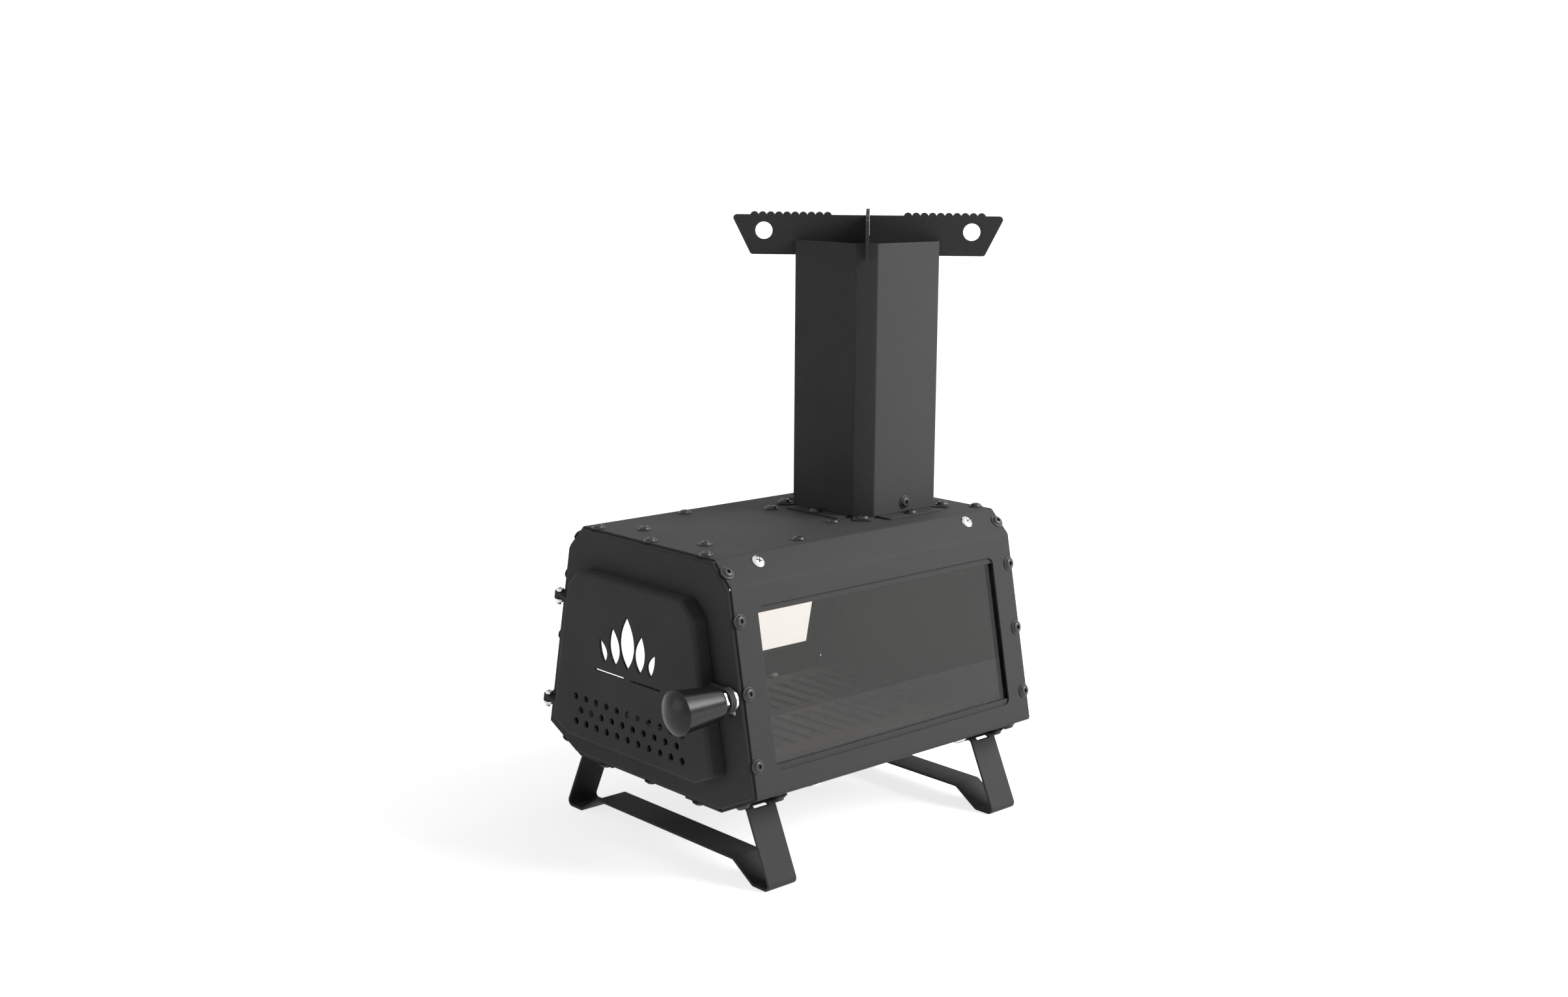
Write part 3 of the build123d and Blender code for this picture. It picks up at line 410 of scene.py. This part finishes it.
def socket_screw(length):
    """Button head on a flange, with a hexagon socket."""
    top = BUTTON_HEAD[-1][1]
    floor = top - SOCKET_DEPTH
    rings = shank_rings(SHANK_RADIUS, length) + [ring(*step) for step in BUTTON_HEAD]
    rings += [
        ring(hexagon(SOCKET_FLATS + SOCKET_FLARE), top),
        ring(hexagon(SOCKET_FLATS), top - SOCKET_EDGE),
        ring(hexagon(SOCKET_FLATS), floor),
        ring(SOCKET_CONE, floor - SOCKET_CONE),
    ]
    return ringed_mesh("socket_screw", rings)


def cross_screw(length, head, radius, turns=0, recess=1.0):
    """Domed head with a cross recess of a relative size."""
    top = head[-1][1]
    rings = shank_rings(radius, length, turns) + [ring(*step) for step in head]
    rings += [ring(cross(share * recess), top + height) for share, height in CROSS_STEPS]
    return ringed_mesh("cross_screw", rings)


def hexagon_nut(flats, height, bore):
    """Nut below its seat, with both crowns chamfered and the bore countersunk."""
    crown = NUT_CROWN * flats / 2
    slope = tan(NUT_BEVEL)
    rings = [
        ring(bore, -BORE_EDGE),
        ring(bore + BORE_EDGE, 0),
        ring(crown, 0),
        ring(hexagon(flats), lambda radius: (crown - radius) * slope),
        ring(hexagon(flats), lambda radius: (radius - crown) * slope - height),
        ring(crown, -height),
        ring(bore + BORE_EDGE, -height),
        ring(bore, BORE_EDGE - height),
    ]
    return ringed_mesh("hexagon_nut", rings, hollow=True)


def window_screw(length):
    """Bright truss-head screw of the window rails."""
    return cross_screw(length, TRUSS_HEAD, SHANK_RADIUS)


def hinge_bolt(length):
    """Bright bolt of the door hinge, threaded where it stands out of its nut."""
    return cross_screw(length, HINGE_HEAD, HINGE_SHANK_RADIUS, THREAD_TURNS, HINGE_CROSS)


def wall_nut(length):
    """Nut of the wall screws."""
    return hexagon_nut(NUT_FLATS, length, SHANK_RADIUS + BORE_PLAY)


def hinge_nut(length):
    """Nut under a hinge bolt."""
    return hexagon_nut(HINGE_NUT_FLATS, length, HINGE_SHANK_RADIUS + BORE_PLAY)


def latch_nut(length):
    """Nut that holds the knob on its spindle."""
    return hexagon_nut(LATCH_NUT_FLATS, length, SPINDLE_RADIUS + BORE_PLAY)


def scatter_tree():
    """Geometry tree that stands one fastener on every seat, turned outward, with its finish."""
    tree, given, result = geometry_tree(
        "fasteners_on_seats", Fastener="Object", Finish="Material", Largest_turn="Float", Seed="Int"
    )
    outward, corner = [
        shown(tree_node(tree, "GeometryNodeInputNamedAttribute", ("data_type", "FLOAT_VECTOR"), Name=label))
        for label in DIRECTIONS
    ]
    stand = tree_node(
        tree, "FunctionNodeAxesToRotation", ("primary_axis", "Z"), ("secondary_axis", "X"),
        Primary_Axis=outward, Secondary_Axis=corner,
    )
    turn = tree_node(
        tree, "FunctionNodeRandomValue", ("data_type", "FLOAT"),
        Min=0.0, Max=given["Largest turn"], Seed=given["Seed"],
    )
    spin = tree_node(tree, "FunctionNodeAxisAngleToRotation", Axis=(0, 0, 1), Angle=shown(turn))
    placed = tree_node(
        tree, "FunctionNodeRotateRotation", ("rotation_space", "LOCAL"),
        Rotation=shown(stand), Rotate_By=shown(spin),
    )
    master = tree_node(tree, "GeometryNodeObjectInfo", Object=given["Fastener"])
    copies = tree_node(
        tree, "GeometryNodeInstanceOnPoints", Points=given["Geometry"],
        Instance=master.outputs["Geometry"], Rotation=shown(placed),
    )
    real = tree_node(tree, "GeometryNodeRealizeInstances", Geometry=shown(copies))
    coated = tree_node(tree, "GeometryNodeSetMaterial", Geometry=shown(real), Material=given["Finish"])
    tree.links.new(shown(coated), result)
    return tree


FASTENERS_ON_SEATS = scatter_tree()


def loose_solids(mesh):
    """Vertices and middle of each fastener in a node's mesh, in millimetres, and its axis.

    Most of a fastener's flat area faces along its axis."""
    shape = bmesh.new()
    shape.from_mesh(mesh)
    bmesh.ops.remove_doubles(shape, verts=shape.verts, dist=WELD_REACH)
    left = dict.fromkeys(shape.verts)
    solids = []
    while left:
        solid = [left.popitem()[0]]
        for vertex in solid:
            for edge in vertex.link_edges:
                other = edge.other_vert(vertex)
                if other in left:
                    del left[other]
                    solid.append(other)
        faces = list(dict.fromkeys(face for vertex in solid for face in vertex.link_faces))
        areas = np.array([face.calc_area() for face in faces])[:, None]
        centres = np.array([face.calc_center_median() for face in faces]) / MM
        middle = (centres * areas).sum(axis=0) / areas.sum()
        normals = np.array([face.normal for face in faces])
        flat_area = (abs(normals @ normals.T) > PARALLEL_COSINE) @ areas
        axis = normals[int(np.argmax(flat_area))]
        solids.append((np.array([vertex.co for vertex in solid]) / MM, middle, axis))
    shape.free()
    return solids


def seat_of(solid, shank_radius):
    """Seat of a fastener, with its outward and corner directions and its length below the seat.

    A nut has no shank and points away from the middle of the fire box."""
    points, middle, axis = solid
    heights = (points - middle) @ axis
    spans = np.linalg.norm(points - middle - np.outer(heights, axis), axis=1)
    if shank_radius:
        head = heights[spans > shank_radius + HEAD_OVERHANG]
        if head.mean() - heights.min() < heights.max() - head.mean():
            axis, heights, head = -axis, -heights, -head
        level = head.min()
    else:
        if (middle - FIRE_BOX_MIDDLE) @ axis < 0:
            axis, heights = -axis, -heights
        level = heights.max()
    far = int(np.argmax(spans))
    corner = points[far] - middle - heights[far] * axis
    length = round(float(level - heights.min()), LENGTH_DIGITS)
    return Seat(middle + level * axis, axis, corner / np.linalg.norm(corner), length)


def seat_points(seats):
    """Mesh of one point for each seat, with its directions as attributes."""
    mesh = bpy.data.meshes.new("seats")
    mesh.from_pydata([Vector(seat.place) * MM for seat in seats], [], [])
    for label in DIRECTIONS:
        values = mesh.attributes.new(label, "FLOAT_VECTOR", "POINT").data
        for value, seat in zip(values, seats):
            value.vector = Vector(getattr(seat, label))
    return mesh


def placed_fasteners(seats, fastener, finish, largest_turn, seed):
    """Mesh of a detailed fastener on every seat."""
    master = bpy.data.objects.new("master", fastener)
    holder = bpy.data.objects.new("seats", seat_points(seats))
    scene.collection.objects.link(master)
    scene.collection.objects.link(holder)
    modifier = holder.modifiers.new("fasteners", "NODES")
    modifier.node_group = FASTENERS_ON_SEATS
    inputs = {"Fastener": master, "Finish": finish, "Largest turn": largest_turn, "Seed": seed}
    for socket in FASTENERS_ON_SEATS.interface.items_tree:
        if socket.name in inputs:
            modifier[socket.identifier] = inputs[socket.name]
    placed = holder.evaluated_get(bpy.context.evaluated_depsgraph_get())
    mesh = bpy.data.meshes.new_from_object(placed)
    bpy.data.objects.remove(holder)
    bpy.data.objects.remove(master)
    return mesh


def fit_fasteners(node, body, maker, finish, shank_radius=0.0):
    """Replace a node's plain fasteners by detailed ones on the same seats.

    Those of one length are copies of one. Screws get a random turn, and nuts keep theirs."""
    sets = {}
    for solid in loose_solids(nodes[node].data):
        seat = seat_of(solid, shank_radius)
        sets.setdefault(seat.length, []).append(seat)
    largest_turn = SCREW_TURN if shank_radius else 0.0
    shape = bmesh.new()
    for seed, (length, seats) in enumerate(sorted(sets.items())):
        shape.from_mesh(placed_fasteners(seats, maker(length), finish, largest_turn, seed))
    mesh = bpy.data.meshes.new(f"detailed_{node}")
    shape.to_mesh(mesh)
    shape.free()
    mesh.materials.append(finish)
    piece = bpy.data.objects.new(f"detailed_{node}", mesh)
    scene.collection.objects.link(piece)
    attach(piece, body)
    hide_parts(node)


def background_rays(tree):
    """One for rays from the camera, a reflection or the glass, and zero for all others."""
    rays = tree.nodes.new("ShaderNodeLightPath").outputs
    chosen = rays["Is Camera Ray"]
    for kind in ("Is Glossy Ray", "Is Transmission Ray"):
        chosen = computed(tree, "ShaderNodeMath", "MAXIMUM", chosen, rays[kind])
    return chosen


def add_floor():
    """Pale floor that keeps the soft shadow, and reads as white where it is seen."""
    mesh = bpy.data.meshes.new("floor")
    corners = [(FLOOR_REACH * x, FLOOR_REACH * y, 0) for x, y in ((-1, -1), (1, -1), (1, 1), (-1, 1))]
    mesh.from_pydata(corners, [], [(0, 1, 2, 3)])
    floor = bpy.data.objects.new("floor", mesh)
    scene.collection.objects.link(floor)
    material, tree, shader = plain_material(
        "pale_floor", Base_Color=FLOOR_COLOUR, Roughness=FLOOR_ROUGHNESS,
        Specular_IOR_Level=FLOOR_GLOSS, Emission_Color=WHITE,
    )
    away = computed(tree, "ShaderNodeVectorMath", "LENGTH", own_place(tree))
    strength = ranged(tree, away, GLOW_DISTANCES, GLOW_STRENGTHS)
    glow = computed(tree, "ShaderNodeMath", "MULTIPLY", strength, background_rays(tree))
    tree.links.new(glow, shader.inputs["Emission Strength"])
    mesh.materials.append(material)


def add_world():
    """Even surroundings, white where they are seen."""
    world = bpy.data.worlds.new("studio")
    scene.world = world
    world.use_nodes = True
    tree = world.node_tree
    tree.nodes.clear()
    strength = ranged(tree, background_rays(tree), (0, 1), WORLD_STRENGTHS)
    light = tree_node(tree, "ShaderNodeBackground", Color=WHITE, Strength=strength)
    tree_node(tree, "ShaderNodeOutputWorld", Surface=shown(light))


def add_lamp(name, place, size, power):
    """Soft rectangular lamp facing the middle of the stove."""
    data = bpy.data.lights.new(name, "AREA")
    data.shape = "RECTANGLE"
    data.size, data.size_y = size
    data.energy = power
    lamp = bpy.data.objects.new(name, data)
    scene.collection.objects.link(lamp)
    back = (Vector(place) - LAMP_AIM).normalized()
    lamp.matrix_world = Matrix.Translation(place) @ back.to_track_quat("Z", "Y").to_matrix().to_4x4()


coated_nodes = [
    "body_shell", "front_plate", "rear_plate", "floor_plate", "chimney_collar", "chimney_tube",
    "lower_blade", "upper_blade", "leg_frame_front", "leg_frame_rear", "door_panel", "latch_boss",
]
coated_nodes += [
    f"{kind}_{height}_{side}"
    for kind in ("window_rail", "glass_clip")
    for height in ("upper", "lower")
    for side in ("right", "left")
]
for name in coated_nodes:
    dress(name, powder_coat)
for name in ("hob_plate", "fire_grate"):
    dress(name, sooty_steel)
for name in ("window_glass_right", "window_glass_left"):
    dress(name, heat_glass)
dress("latch_knob", black_knob)
for name in ("latch_washer", "latch_spindle", "latch_tongue", "latch_screw"):
    dress(name, bright_zinc)

for name in ("hob", "chimney_side", "front_plate", "rear_plate", "collar", "leg"):
    fit_fasteners(f"{name}_screws", "stove_body", socket_screw, black_oxide, SHANK_RADIUS)
    fit_fasteners(f"{name}_nuts", "stove_body", wall_nut, bright_zinc)
for name in ("window_upper", "window_lower"):
    fit_fasteners(f"{name}_screws", "stove_body", window_screw, bright_zinc, SHANK_RADIUS)
    fit_fasteners(f"{name}_nuts", "stove_body", wall_nut, bright_zinc)
fit_fasteners("hinge_bolts", "stove_body", hinge_bolt, bright_zinc, HINGE_SHANK_RADIUS)
fit_fasteners("hinge_nuts", "stove_body", hinge_nut, bright_zinc)
fit_fasteners("latch_nut", "latch", latch_nut, bright_zinc)

add_camera()
add_floor()
add_world()
for lamp in LAMPS:
    add_lamp(*lamp)
scene.view_settings.view_transform = "Standard"
